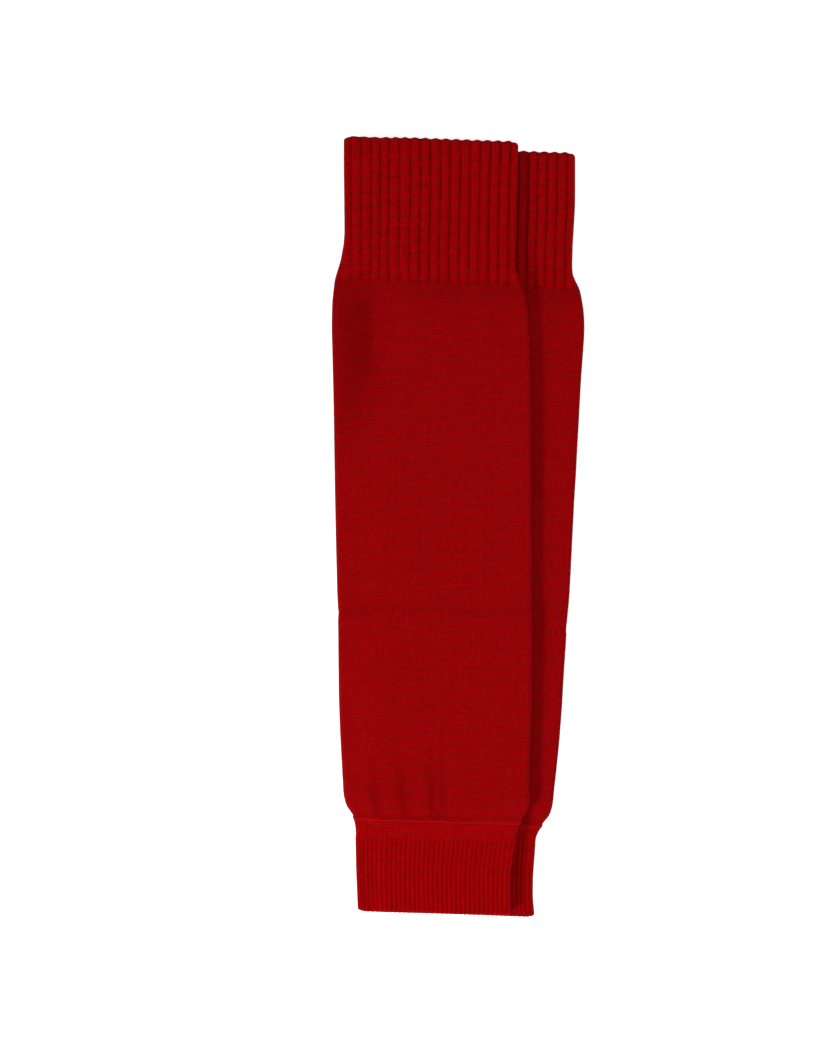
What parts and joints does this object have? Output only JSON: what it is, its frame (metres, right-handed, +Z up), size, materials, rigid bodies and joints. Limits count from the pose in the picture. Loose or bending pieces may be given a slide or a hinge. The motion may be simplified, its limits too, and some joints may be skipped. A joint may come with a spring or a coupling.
{
  "type": "pair of knitted forearm guards",
  "caption": "Pair of knitted forearm guards lying flat, one over the other: each an open sleeve with a wide ribbed elbow cuff and a finely ribbed wrist cuff.",
  "frame": {"origin": "middle of the rectangle that the pair covers, on the surface it lies on", "axes": "+X across the guards, towards the side where the rear guard shows; +Y along the guards, towards the elbow cuffs; +Z up from the surface they lie on"},
  "size_m": [0.1138, 0.3496, 0.0159],
  "materials": {
    "plain_knit": "matte",
    "ribbed_cuff": "matte",
    "sewing_thread": "satin",
    "elastic_thread": "matte"
  },
  "bodies": {
    "rear_guard": {"rear_elbow_cuff": "ribbed_cuff", "rear_elbow_elastics": "elastic_thread", "rear_elbow_link_thread": "sewing_thread", "rear_sleeve": "plain_knit", "rear_wrist_seam_thread": "sewing_thread", "rear_wrist_cuff": "ribbed_cuff", "rear_wrist_elastics": "elastic_thread"},
    "front_guard": {"front_elbow_cuff": "ribbed_cuff", "front_elbow_elastics": "elastic_thread", "front_elbow_link_thread": "sewing_thread", "front_sleeve": "plain_knit", "front_wrist_seam_thread": "sewing_thread", "front_wrist_cuff": "ribbed_cuff", "front_wrist_elastics": "elastic_thread"}
  },
  "joints": [
    {"name": "front_guard_lift", "type": "slide", "parent": "rear_guard", "child": "front_guard", "axis": [0, 0, 1], "range_m": [0, 0.12]}
  ]
}
